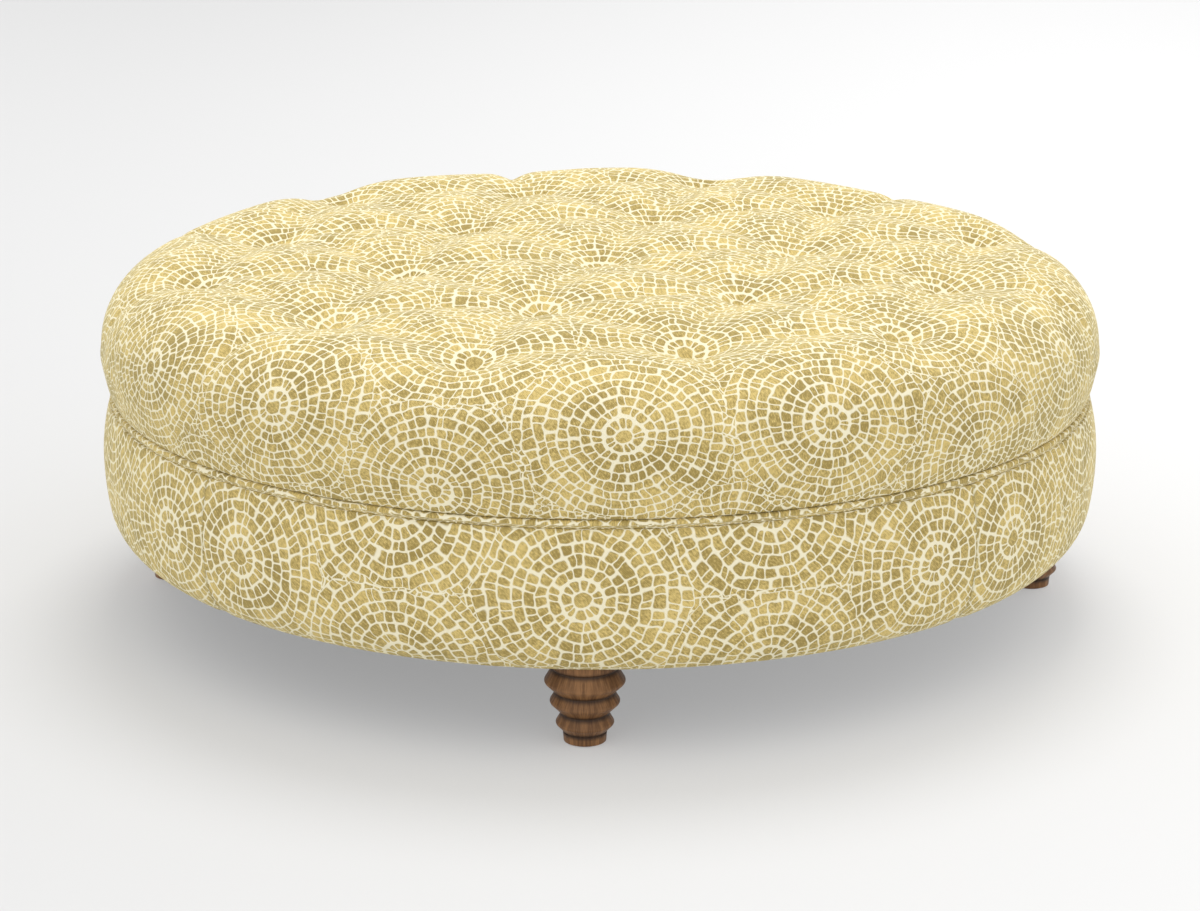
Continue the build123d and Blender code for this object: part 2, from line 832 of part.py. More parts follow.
# Deck of the cushion, with a hole for each tuft's twine
with BuildPart() as deck_board:
    with Locations((0, 0, deck_low)):
        Cylinder(deck_radius, deck_thickness, align=(Align.CENTER, Align.CENTER, Align.MIN))
    fillet(deck_board.edges().group_by(Axis.Z)[0], deck_edge_round)
    with Locations(*[(x, y, deck_low + deck_thickness / 2) for x, y in tuft_places]):
        Cylinder(twine_hole_radius, deck_thickness + cut_overrun, mode=Mode.SUBTRACT)
    deck_screws(deck_screw_hole, Mode.SUBTRACT)
    slots(cushion_row)
save(deck_board, "deck_board")

# Foam and batting of the cushion, drawn in at every tuft and pleat
foam_body = tufted_body(foam_inset, deck_high)
batting_outside = tufted_body(batting_inset, deck_low + cloth_gap)
batting_inside = tufted_body(batting_inset + batting_thickness, deck_high - cloth_gap)
twine_channel_height = cushion_shoulder_height + cushion_crown - deck_high

with BuildPart() as cushion_foam:
    add(foam_body)
    with Locations(*[(x, y, deck_high) for x, y in tuft_places]):
        Cylinder(
            twine_hole_radius,
            twine_channel_height,
            align=(Align.CENTER, Align.CENTER, Align.MIN),
            mode=Mode.SUBTRACT,
        )
save(cushion_foam, "cushion_foam")

with BuildPart() as cushion_batting:
    add(batting_outside)
    add(batting_inside, mode=Mode.SUBTRACT)
    with Locations((0, 0, deck_low)):
        Cylinder(
            deck_radius + cloth_gap,
            deck_thickness,
            align=(Align.CENTER, Align.CENTER, Align.MIN),
            mode=Mode.SUBTRACT,
        )
    with Locations(*[(x, y, deck_high) for x, y in tuft_places]):
        Cylinder(
            twine_hole_radius,
            twine_channel_height,
            align=(Align.CENTER, Align.CENTER, Align.MIN),
            mode=Mode.SUBTRACT,
        )
save(cushion_batting, "cushion_batting")

# Cover of the cushion, pulled down at the tufts and stapled under the deck
cover_outside = tufted_body(0, cushion_hem_low)
cover_inside = tufted_body(cover_thickness, deck_low)
with BuildPart() as cushion_cover:
    add(cover_outside)
    add(cover_inside, mode=Mode.SUBTRACT)
    with Locations((0, 0, cushion_hem_low)):
        Cylinder(
            upper_hem_radius,
            cover_thickness,
            align=(Align.CENTER, Align.CENTER, Align.MIN),
            mode=Mode.SUBTRACT,
        )
    slots(cushion_row)
save(cushion_cover, "cushion_cover")

with BuildPart() as cushion_staples:
    tool_ring(staple_solid, *cushion_row)
save(cushion_staples, "cushion_staples")

# Tufting twines, each from a knot under its washer up to the bottom of its tuft
with BuildPart() as tufting_washers:
    with Locations(*[(x, y, washer_low) for x, y in tuft_places]):
        Cylinder(washer_radius, washer_thickness, align=(Align.CENTER, Align.CENTER, Align.MIN))
        Cylinder(
            twine_hole_radius,
            washer_thickness,
            align=(Align.CENTER, Align.CENTER, Align.MIN),
            mode=Mode.SUBTRACT,
        )
save(tufting_washers, "tufting_washers")

knot_drop = sqrt(knot_radius**2 - twine_hole_radius**2)
with BuildPart() as tufting_twines:
    for x, y, top in tuft_tops:
        twine_high = top - tuft_depth - cover_thickness - cloth_gap
        with Locations((x, y, washer_low - knot_drop)):
            Sphere(knot_radius)
            Cylinder(
                twine_radius,
                twine_high - washer_low + knot_drop,
                align=(Align.CENTER, Align.CENTER, Align.MIN),
            )
save(tufting_twines, "tufting_twines")
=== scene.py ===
import json
from math import asin, cos, hypot, pi, radians, sin, sqrt, tan

import bpy
import numpy as np
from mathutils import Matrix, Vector


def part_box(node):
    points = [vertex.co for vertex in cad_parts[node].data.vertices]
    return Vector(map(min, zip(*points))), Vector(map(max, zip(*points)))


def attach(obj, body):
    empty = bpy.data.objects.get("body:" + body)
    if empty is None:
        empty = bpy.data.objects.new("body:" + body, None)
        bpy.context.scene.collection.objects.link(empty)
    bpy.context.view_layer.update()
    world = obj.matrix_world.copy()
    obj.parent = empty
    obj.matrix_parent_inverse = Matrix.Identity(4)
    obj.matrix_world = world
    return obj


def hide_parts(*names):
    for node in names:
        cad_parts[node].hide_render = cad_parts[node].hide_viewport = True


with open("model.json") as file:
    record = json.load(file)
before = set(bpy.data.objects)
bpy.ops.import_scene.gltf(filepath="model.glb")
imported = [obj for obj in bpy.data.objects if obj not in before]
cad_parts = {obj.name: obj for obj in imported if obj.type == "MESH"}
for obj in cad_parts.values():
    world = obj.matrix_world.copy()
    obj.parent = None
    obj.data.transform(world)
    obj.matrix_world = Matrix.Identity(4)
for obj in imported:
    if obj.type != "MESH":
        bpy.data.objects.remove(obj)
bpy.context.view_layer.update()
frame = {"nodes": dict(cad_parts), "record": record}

# Round tufted ottoman coffee table, in metres, in the frame of its solids.
# A leg stands on each of the X and Y axes, and -Y is the front.
mm = 0.001

# Camera, at the photograph's viewing angle
camera_distance = 3.6783
camera_height = 1.2631
camera_azimuth = radians(1.74)
camera_pitch = radians(16.6425)
camera_lens = 92.26
camera_sensor = 36.0

# Cushion, as its solids have it
cushion_radius = 608.0 * mm
cushion_widest_height = 329.65 * mm
cushion_roll_radius = 95.4 * mm
cushion_tuck_radius = 72.4 * mm
cushion_crown = 4.0 * mm
cushion_side_lean = radians(11.5)
cushion_edge_round = 4.0 * mm
cushion_hem_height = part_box("cushion_cover")[0].z
shoulder_radius = cushion_radius - cushion_roll_radius
shoulder_height = cushion_widest_height + cushion_roll_radius

# Tufts and pleats
tuft_spacing = 247.0 * mm
tuft_turn = radians(15.0)
tuft_rings = 2
tuft_depth = 36.0 * mm
tuft_throat = 9.0 * mm
tuft_reach = 122.5 * mm
tuft_drop = 34.0 * mm
tuft_rise = 0.5 * mm
pleat_depth = 13.0 * mm
pleat_half_width = 60.0 * mm
pleat_fade = 3.0 * mm
ring_corners = 6
half_pleat_step = pi / ring_corners

# Base, as its solids have it
base_radius = 610.6 * mm
base_widest_height = 192.7 * mm
base_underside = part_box("base_cover_front")[0].z
base_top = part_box("base_cover_front")[1].z
base_upper_bow_radius = 225.0 * mm
base_turn_height = 135.0 * mm
base_turn_inset = 5.0 * mm
base_turn_radius = 58.0 * mm
base_inner_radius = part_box("side_hoop")[1].x + 0.3 * mm
panel_angles = {"right": 0.0, "back": pi / 2, "left": pi, "front": -pi / 2}

# Welt
welt_radius = 592.0 * mm
welt_tube_radius = 4.65 * mm
welt_clearance = 0.3 * mm
welt_height = base_top + welt_tube_radius
cushion_rest_height = welt_height + welt_tube_radius + welt_clearance
cushion_rest_radius = welt_radius - welt_tube_radius - welt_clearance

# Legs
leg_circle = 541.0 * mm


class Wiring:
    """The node tree of one material, with short calls for what is wired often.

    A Mix node's numbers are its inputs 2 and 3, its colours its inputs 6 and 7 and its output 2.
    """

    def __init__(self, name):
        self.material = bpy.data.materials.new(name)
        self.material.use_nodes = True
        self.tree = self.material.node_tree
        self.shader = self.tree.nodes["Principled BSDF"]

    def node(self, kind, **settings):
        """Adds a node with its settings."""
        made = self.tree.nodes.new(kind)
        for key, value in settings.items():
            setattr(made, key, value)
        return made

    def feed(self, socket, value):
        """Sets a socket to a value, or links it to another socket."""
        if isinstance(value, bpy.types.NodeSocket):
            self.tree.links.new(value, socket)
        else:
            socket.default_value = value

    def math(self, operation, *values):
        """The result of one operation on one, two or three numbers."""
        made = self.node("ShaderNodeMath", operation=operation)
        for socket, value in zip(made.inputs, values):
            self.feed(socket, value)
        return made.outputs[0]

    def blend(self, share, low, high):
        """A number between two numbers."""
        made = self.node("ShaderNodeMix", data_type="FLOAT")
        self.feed(made.inputs[0], share)
        self.feed(made.inputs[2], low)
        self.feed(made.inputs[3], high)
        return made.outputs[0]

    def colour(self, share, low, high):
        """A colour between two colours."""
        made = self.node("ShaderNodeMix", data_type="RGBA")
        self.feed(made.inputs[0], share)
        self.feed(made.inputs[6], low)
        self.feed(made.inputs[7], high)
        return made.outputs[2]

    def span(self, value, low, high, to_low=0.0, to_high=1.0):
        """A smooth step from one number to another while the value goes from low to high."""
        made = self.node("ShaderNodeMapRange", interpolation_type="SMOOTHSTEP")
        for socket, number in zip(made.inputs, (value, low, high, to_low, to_high)):
            self.feed(socket, number)
        return made.outputs[0]

    def vector(self, x=0.0, y=0.0, z=0.0):
        """A vector of up to three numbers."""
        made = self.node("ShaderNodeCombineXYZ")
        for socket, value in zip(made.inputs, (x, y, z)):
            self.feed(socket, value)
        return made.outputs[0]

    def parts(self, vector):
        """The three numbers of a vector."""
        made = self.node("ShaderNodeSeparateXYZ")
        self.feed(made.inputs[0], vector)
        return made.outputs

    def noise(self, vector, scale, detail=2.0, grit=0.5):
        """Smooth noise from 0 to 1; grit is the weight of its finest detail."""
        made = self.node("ShaderNodeTexNoise")
        self.feed(made.inputs["Vector"], vector)
        made.inputs["Scale"].default_value = scale
        made.inputs["Detail"].default_value = detail
        made.inputs["Roughness"].default_value = grit
        return made.outputs[0]

    def wobbled(self, u, v, scale, reach, place=None, detail=1.0):
        """Two coordinates of the cloth, each shifted a little by slow noise at their place."""
        made = self.node("ShaderNodeTexNoise")
        self.feed(made.inputs["Vector"], place or self.vector(u, v))
        made.inputs["Scale"].default_value = scale
        made.inputs["Detail"].default_value = detail
        shifts = self.parts(made.outputs["Color"])
        middle = reach / 2
        return [
            self.math("SUBTRACT", self.math("MULTIPLY_ADD", shift, reach, value), middle)
            for shift, value in zip(shifts, (u, v))
        ]

    def chance(self, vector):
        """A number from 0 to 1 that differs at random from place to place."""
        made = self.node("ShaderNodeTexWhiteNoise", noise_dimensions="3D")
        self.feed(made.inputs["Vector"], vector)
        return made.outputs["Value"]

    def bump(self, height, distance):
        """A normal that leans with the slope of a height."""
        made = self.node("ShaderNodeBump")
        self.feed(made.inputs["Height"], height)
        made.inputs["Distance"].default_value = distance
        return made.outputs[0]

    def place(self):
        """The place in the row frame, which every mesh here shares."""
        return self.node("ShaderNodeTexCoord").outputs["Object"]

    def finish(self, colour, roughness, normal=None, constants=None):
        """Feeds the shader; what is the same all over goes on its own sockets."""
        self.feed(self.shader.inputs["Base Color"], colour)
        self.feed(self.shader.inputs["Roughness"], roughness)
        if normal is not None:
            self.feed(self.shader.inputs["Normal"], normal)
        for name, value in (constants or {}).items():
            self.shader.inputs[name].default_value = value
        return self.material


# Mosaic of the cloth: rings of small tesserae round the points of a half-drop lattice
mosaic_ring_width = 13.4 * mm
mosaic_ring_shift = 3.3 * mm
mosaic_wedges_added = 6.0
mosaic_wedge_swing = 0.15
mosaic_slow_swing = 0.14
mosaic_swing_share = 0.33
mosaic_slow_share = 0.41
mosaic_grout_half_width = 1.05 * mm
mosaic_grout_edge = 0.6 * mm
mosaic_grout_wear = 1.9 * mm
mosaic_wear_scale = 60.0
mosaic_wear_detail = 3.0
mosaic_heavy_radius = 23.6 * mm
mosaic_heavy_reach = 5.0 * mm
mosaic_heavy_width = 1.2 * mm
mosaic_corner_round = 4.0 * mm
mosaic_wobble = 8.0 * mm
mosaic_wobble_scale = 52.0
mosaic_drift = 19.0 * mm
mosaic_drift_scale = 21.0
mosaic_drift_start = 26.0 * mm
mosaic_drift_full = 110.0 * mm
mosaic_filler_margin = 1.0 * mm
mosaic_filler_size = 10.5 * mm
mosaic_filler_chance = 0.75
motif_key_column = 7.31
motif_key_row = 3.17
motif_key_half = 0.61
dark_ring_radius = 52.0 * mm
dark_ring_reach = 26.0 * mm
tessera_dark = (0.34, 0.248, 0.072, 1.0)
tessera_light = (0.70, 0.535, 0.195, 1.0)
grout_colour = (0.92, 0.86, 0.64, 1.0)
gold_speck = (0.95, 0.74, 0.27, 1.0)


def fraction_edge(wiring, value):
    """How far a number is from the nearest whole number."""
    fraction = wiring.math("FRACT", value)
    return wiring.math("MINIMUM", fraction, wiring.math("SUBTRACT", 1.0, fraction))


def root_of_squares(wiring, x, y):
    """The length of a vector of two numbers."""
    return wiring.math("SQRT", wiring.math("MULTIPLY_ADD", x, x, wiring.math("MULTIPLY", y, y)))


def nearest_motif(wiring, u, v, column, row):
    """The place within the nearest motif of the lattice, and the motif's key."""
    sides = []
    for shift in (0.0, 1.0):
        along = wiring.math("SUBTRACT", u, shift * column)
        up = wiring.math("SUBTRACT", v, shift * row / 2)
        i = wiring.math("ROUND", wiring.math("DIVIDE", along, 2 * column))
        j = wiring.math("ROUND", wiring.math("DIVIDE", up, row))
        x = wiring.math("MULTIPLY_ADD", i, -2 * column, along)
        y = wiring.math("MULTIPLY_ADD", j, -row, up)
        key = wiring.math("MULTIPLY_ADD", i, motif_key_column, shift * motif_key_half)
        key = wiring.math("MULTIPLY_ADD", j, motif_key_row, key)
        sides.append((x, y, key, root_of_squares(wiring, x, y)))
    second = wiring.math("LESS_THAN", sides[1][-1], sides[0][-1])
    return [wiring.blend(second, a, b) for a, b in zip(*sides)][:-1]


def border_distance(wiring, x, y, column, row):
    """How far a place within a motif is from the motif's border."""
    diagonal = hypot(column, row / 2)
    across = wiring.math("MULTIPLY", wiring.math("ABSOLUTE", x), column / diagonal)
    up = wiring.math("ABSOLUTE", y)
    slanted = wiring.math("MULTIPLY_ADD", up, row / 2 / diagonal, across)
    return wiring.math(
        "MINIMUM",
        wiring.math("SUBTRACT", row / 2, up),
        wiring.math("SUBTRACT", diagonal / 2, slanted),
    )


def swung(wiring, around, wedges, share, swing):
    """A wave round a ring, in wedges, which makes some of them wide and some narrow."""
    waves = wiring.math("ROUND", wiring.math("MULTIPLY", wedges, share))
    turns = wiring.math("MULTIPLY", around, waves)
    return wiring.math("MULTIPLY", wiring.math("SINE", wiring.math("MULTIPLY", turns, 2 * pi)), swing)


def swings(wiring, around, wedges):
    """Both waves round a ring, which make its wedges differ."""
    quick = swung(wiring, around, wedges, mosaic_swing_share, mosaic_wedge_swing)
    return wiring.math("ADD", quick, swung(wiring, around, wedges, mosaic_slow_share, mosaic_slow_swing))


def tessera_middle(wiring, ring, step, wedges, turn):
    """The place within the motif of the middle of a tessera, from its ring and its step round it."""
    half_step = wiring.math("ADD", step, 0.5)
    lean = swings(wiring, wiring.math("DIVIDE", half_step, wedges), wedges)
    around = wiring.math("DIVIDE", wiring.math("SUBTRACT", half_step, lean), wedges)
    angle = wiring.math("MULTIPLY", wiring.math("SUBTRACT", around, turn), 2 * pi)
    first_radius = mosaic_ring_width / 2 - mosaic_ring_shift
    radius = wiring.math("MULTIPLY_ADD", ring, mosaic_ring_width, first_radius)
    x = wiring.math("MULTIPLY", wiring.math("COSINE", angle), radius)
    y = wiring.math("MULTIPLY", wiring.math("SINE", angle), radius)
    return x, y


def filler_stones(wiring, u, v):
    """Loose small stones: how far a place is from their joints, and a number for each."""
    made = []
    for feature in ("DISTANCE_TO_EDGE", "F1"):
        stones = wiring.node("ShaderNodeTexVoronoi", feature=feature, voronoi_dimensions="2D")
        wiring.feed(stones.inputs["Vector"], wiring.vector(u, v))
        stones.inputs["Scale"].default_value = 1 / mosaic_filler_size
        stones.inputs["Randomness"].default_value = mosaic_filler_chance
        made.append(stones)
    edge = wiring.math("MULTIPLY", made[0].outputs["Distance"], mosaic_filler_size)
    return edge, wiring.parts(made[1].outputs["Color"])[0]


def drifted(wiring, flat_u, flat_v, x, y):
    """A place within its motif, shifted by slow noise: not at all in the middle, most at the border."""
    place = wiring.vector(flat_u, flat_v)
    drift_x, drift_y = wiring.wobbled(0.0, 0.0, mosaic_drift_scale, mosaic_drift, place)
    share = wiring.span(root_of_squares(wiring, x, y), mosaic_drift_start, mosaic_drift_full)
    return wiring.math("MULTIPLY_ADD", drift_x, share, x), wiring.math("MULTIPLY_ADD", drift_y, share, y)


def grout_shown(wiring, edge, u, v, radius):
    """How much grout shows at a distance from a joint: worn, and wider on one ring of each motif."""
    off_heavy = wiring.math("ABSOLUTE", wiring.math("SUBTRACT", radius, mosaic_heavy_radius))
    heavy = wiring.span(off_heavy, 0.0, mosaic_heavy_reach, mosaic_heavy_width, 0.0)
    wear = wiring.noise(wiring.vector(u, v), mosaic_wear_scale, mosaic_wear_detail)
    wear = wiring.math("MULTIPLY", wiring.math("SUBTRACT", wear, 0.5), mosaic_grout_wear)
    edge = wiring.math("SUBTRACT", edge, wiring.math("ADD", wear, heavy))
    low = mosaic_grout_half_width - mosaic_grout_edge
    high = mosaic_grout_half_width + mosaic_grout_edge
    return wiring.span(edge, low, high, 1.0, 0.0)


def mosaic(wiring, flat_u, flat_v, column, row):
    """The grout's share, a random number for each tessera, and the radius in the motif."""
    u, v = wiring.wobbled(flat_u, flat_v, mosaic_wobble_scale, mosaic_wobble)
    x, y, key = nearest_motif(wiring, u, v, column, row)
    ring_x, ring_y = drifted(wiring, flat_u, flat_v, x, y)
    radius = root_of_squares(wiring, ring_x, ring_y)

    rings = wiring.math("DIVIDE", wiring.math("ADD", radius, mosaic_ring_shift), mosaic_ring_width)
    ring = wiring.math("FLOOR", rings)
    in_disc = wiring.math("LESS_THAN", ring, 1.0)
    ring_edge = wiring.math("MULTIPLY", fraction_edge(wiring, rings), mosaic_ring_width)

    turn = wiring.chance(wiring.vector(key, ring))
    around = wiring.math("DIVIDE", wiring.math("ARCTAN2", ring_y, ring_x), 2 * pi)
    around = wiring.math("ADD", around, turn)
    wedges = wiring.math("MULTIPLY_ADD", ring, mosaic_wedges_added, mosaic_wedges_added)
    steps = wiring.math("MULTIPLY_ADD", around, wedges, swings(wiring, around, wedges))
    step = wiring.math("FLOOR", steps)
    wedge = wiring.math("MULTIPLY", step, wiring.math("SUBTRACT", 1.0, in_disc))
    wedge = wiring.math("FLOORED_MODULO", wedge, wedges)
    arc = wiring.math("DIVIDE", wiring.math("MULTIPLY", radius, 2 * pi), wedges)
    wedge_edge = wiring.math("MULTIPLY", fraction_edge(wiring, steps), arc)
    wedge_edge = wiring.math("ADD", wedge_edge, in_disc)
    edge = wiring.math("SMOOTH_MIN", ring_edge, wedge_edge, mosaic_corner_round)
    edge = wiring.math("MINIMUM", edge, border_distance(wiring, x, y, column, row))

    middle_x, middle_y = tessera_middle(wiring, ring, step, wedges, turn)
    middle_room = border_distance(wiring, middle_x, middle_y, column, row)
    filler = wiring.math("LESS_THAN", middle_room, mosaic_filler_margin)
    filler_edge, filler_chance = filler_stones(wiring, u, v)
    grout = grout_shown(wiring, wiring.blend(filler, edge, filler_edge), u, v, radius)
    chance = wiring.chance(wiring.vector(key, ring, wedge))
    return grout, wiring.blend(filler, chance, filler_chance), radius


# Cloth: the tones of a tessera, the twill's ribs and its gold thread
tessera_tone = 0.3
cloud_scale = 15.0
cloud_detail = 3.0
cloud_tone = 1.5
dark_ring_tone = 0.16
tone_start = -0.42
speckle_scale = 340.0
speckle_grit = 0.7
speckle_long_share = 0.4
speckle_tone = 2.3
twill_pitch = 2.4 * mm
twill_tone = 0.07
twill_relief = 0.3
grout_relief = 0.6
weave_relief = 0.35 * mm
glint_low = 0.6
glint_high = 0.78
glint_share = 0.5
grout_share = 0.93
cloth_roughness = 0.74
cloth_sheen = {
    "Sheen Weight": 0.35,
    "Sheen Roughness": 0.45,
    "Sheen Tint": (1.0, 0.92, 0.5, 1.0),
    "Specular IOR Level": 0.25,
}


def cloth_material(name, column, row):
    """Woven cloth with the mosaic, in the cloth's own coordinates."""
    wiring = Wiring(name)
    uv = wiring.node("ShaderNodeUVMap", uv_map="cloth").outputs[0]
    u, v, _ = wiring.parts(uv)
    grout, tessera, radius = mosaic(wiring, u, v, column, row)
    cloud = wiring.noise(uv, cloud_scale, cloud_detail)
    slant = wiring.math("ADD", u, v)
    along_slant = wiring.math("MULTIPLY", wiring.math("SUBTRACT", u, v), speckle_long_share)
    speckle = wiring.noise(wiring.vector(slant, along_slant), speckle_scale, grit=speckle_grit)
    ribs = wiring.math("DIVIDE", slant, twill_pitch)
    twill = wiring.math("SINE", wiring.math("MULTIPLY", ribs, 2 * pi))
    off_ring = wiring.math("ABSOLUTE", wiring.math("SUBTRACT", radius, dark_ring_radius))
    tone = wiring.math("MULTIPLY_ADD", tessera, tessera_tone, tone_start)
    tone = wiring.math("MULTIPLY_ADD", cloud, cloud_tone, tone)
    tone = wiring.math("SUBTRACT", tone, wiring.span(off_ring, 0.0, dark_ring_reach, dark_ring_tone, 0.0))
    tone = wiring.math("MULTIPLY_ADD", wiring.math("SUBTRACT", speckle, 0.5), speckle_tone, tone)
    tone = wiring.math("MULTIPLY_ADD", twill, twill_tone, tone)
    ground = wiring.colour(wiring.span(tone, 0.0, 1.0), tessera_dark, tessera_light)
    glint = wiring.span(speckle, glint_low, glint_high)
    ground = wiring.colour(wiring.math("MULTIPLY", glint, glint_share), ground, gold_speck)
    colour = wiring.colour(wiring.math("MULTIPLY", grout, grout_share), ground, grout_colour)
    weave = wiring.math("MULTIPLY_ADD", twill, twill_relief, speckle)
    weave = wiring.math("MULTIPLY_ADD", grout, grout_relief, weave)
    return wiring.finish(colour, cloth_roughness, wiring.bump(weave, weave_relief), cloth_sheen)


def leg_place(wiring, place):
    """A place across the leg that is nearest to it, measured from that leg's axis, and its radius."""
    x, y, z = wiring.parts(place)
    x = wiring.math("ABSOLUTE", x)
    y = wiring.math("ABSOLUTE", y)
    on_x = wiring.math("GREATER_THAN", x, y)
    far = wiring.math("SUBTRACT", wiring.blend(on_x, y, x), leg_circle)
    near = wiring.blend(on_x, x, y)
    squared = wiring.math("MULTIPLY_ADD", far, far, wiring.math("MULTIPLY", near, near))
    return far, near, z, wiring.math("SQRT", squared)


# Noise that blends two tones or two roughnesses does so between these values
noise_low = 0.3
noise_high = 0.7

# Raw wood and plywood
raw_streak_scale = 160.0
raw_streak_detail = 6.0
raw_streak_grit = 0.65
raw_band_scale = 27.0
raw_long_share = 0.08
raw_streak_share = 0.65
raw_band_share = 0.5
raw_tone_low = 0.38
raw_tone_high = 0.78
raw_roughness = 0.8
raw_relief = 0.3 * mm
ply_tone = 0.4


def grained(wiring, place, along, low, high):
    """The fine streaks of raw wood whose grain runs along an axis, and its colour with slow bands."""
    made = wiring.node("ShaderNodeMapping")
    wiring.feed(made.inputs["Vector"], place)
    made.inputs["Scale"].default_value = [raw_long_share if axis == along else 1.0 for axis in range(3)]
    streaks = wiring.noise(made.outputs[0], raw_streak_scale, raw_streak_detail, raw_streak_grit)
    bands = wiring.noise(made.outputs[0], raw_band_scale)
    tone = wiring.math("MULTIPLY", bands, raw_band_share)
    tone = wiring.math("MULTIPLY_ADD", streaks, raw_streak_share, tone)
    return streaks, wiring.colour(wiring.span(tone, raw_tone_low, raw_tone_high), low, high)


# Legs: heights of the grooves between their beads, and their grain
leg_grooves = (12.1 * mm, 33.5 * mm, 57.9 * mm, 86.1 * mm)
groove_reach = 5.5 * mm
# Painted shade in the grooves: how far it darkens the wood at a groove's middle
groove_shade_strength = 0.86
streak_round = 36.0 * mm
streak_long_share = 0.10
streak_scale = 520.0
streak_detail = 4.0
streak_grit = 0.6
streak_relief = 0.25 * mm
streak_share = 0.6
band_scale = 70.0
band_share = 0.5
leg_tone_low = 0.4
leg_tone_high = 0.72
leg_roughness = (0.52, 0.42)
leg_gloss = {"Specular IOR Level": 0.3}
leg_dark = (0.105, 0.046, 0.016, 1.0)
leg_light = (0.27, 0.132, 0.050, 1.0)
# Near-black colour of the painted shade in the grooves
groove_shade_colour = (0.016, 0.008, 0.005, 1.0)


def leg_material():
    """Stained turned hardwood: fine streaks down each bead, and painted shade lying dark in the grooves.
    """
    wiring = Wiring("turned_wood")
    far, near, z, radius = leg_place(wiring, wiring.place())
    spread = wiring.math("DIVIDE", streak_round, radius)
    across = [wiring.math("MULTIPLY", side, spread) for side in (far, near)]
    turned = wiring.vector(*across, wiring.math("MULTIPLY", z, streak_long_share))
    streaks = wiring.noise(turned, streak_scale, streak_detail, streak_grit)
    bands = wiring.noise(turned, band_scale)
    tone = wiring.math("MULTIPLY_ADD", bands, band_share, wiring.math("MULTIPLY", streaks, streak_share))
    wood = wiring.colour(wiring.span(tone, leg_tone_low, leg_tone_high), leg_dark, leg_light)
    # Painted shade: the wood darkens towards near black in each groove between the beads
    painted_groove_shade = 0.0
    for groove in leg_grooves:
        off = wiring.math("ABSOLUTE", wiring.math("SUBTRACT", z, groove))
        painted_groove_shade = wiring.math("MAXIMUM", painted_groove_shade, wiring.span(off, 0.0, groove_reach, groove_shade_strength, 0.0))
    wood = wiring.colour(painted_groove_shade, wood, groove_shade_colour)
    roughness = wiring.span(streaks, noise_low, noise_high, *leg_roughness)
    return wiring.finish(wood, roughness, wiring.bump(streaks, streak_relief), leg_gloss)


def board_material(name, along, low, high, ply=None):
    """Raw wood or plywood; ply is the thickness of one layer, which shows on its edges."""
    wiring = Wiring(name)
    place = wiring.place()
    low = (*low, 1.0)
    streaks, wood = grained(wiring, place, along, low, (*high, 1.0))
    if ply is not None:
        _, _, z = wiring.parts(place)
        layer = wiring.math("FLOOR", wiring.math("DIVIDE", z, ply))
        odd = wiring.math("PINGPONG", layer, 1.0)
        wood = wiring.colour(wiring.math("MULTIPLY", odd, ply_tone), wood, low)
    return wiring.finish(wood, raw_roughness, wiring.bump(streaks, raw_relief))


# Steel, nylon and soft stuff
metal_detail = 5.0
metal_grit = 0.7
metal_dark_share = 0.8
metal_roughness = (0.25, 0.5)
metal_relief = 0.05 * mm
nylon_scale = 900.0
nylon_detail = 3.0
nylon_roughness = (0.42, 0.6)
nylon_relief = 0.08 * mm
fibre_detail = 6.0
fibre_grit = 0.75
fibre_roughness = 0.95
fibre_sheen = {"Sheen Weight": 0.2}


def metal_material(name, colour, scale):
    """Plated or plain steel with fine marks."""
    wiring = Wiring(name)
    marks = wiring.noise(wiring.place(), scale, metal_detail, metal_grit)
    dark = [metal_dark_share * part for part in colour]
    tone = wiring.colour(marks, (*dark, 1.0), (*colour, 1.0))
    roughness = wiring.span(marks, noise_low, noise_high, *metal_roughness)
    return wiring.finish(tone, roughness, wiring.bump(marks, metal_relief), {"Metallic": 1.0})


def fibre_material(name, low, high, scale, height):
    """Fibrous or porous soft stuff."""
    wiring = Wiring(name)
    fibres = wiring.noise(wiring.place(), scale, fibre_detail, fibre_grit)
    colour = wiring.colour(wiring.span(fibres, noise_low, noise_high), (*low, 1.0), (*high, 1.0))
    return wiring.finish(colour, fibre_roughness, wiring.bump(fibres, height), fibre_sheen)


def plastic_material(name, low, high):
    """Moulded nylon with a fine grain."""
    wiring = Wiring(name)
    grain = wiring.noise(wiring.place(), nylon_scale, nylon_detail)
    colour = wiring.colour(grain, (*low, 1.0), (*high, 1.0))
    roughness = wiring.span(grain, noise_low, noise_high, *nylon_roughness)
    return wiring.finish(colour, roughness, wiring.bump(grain, nylon_relief))


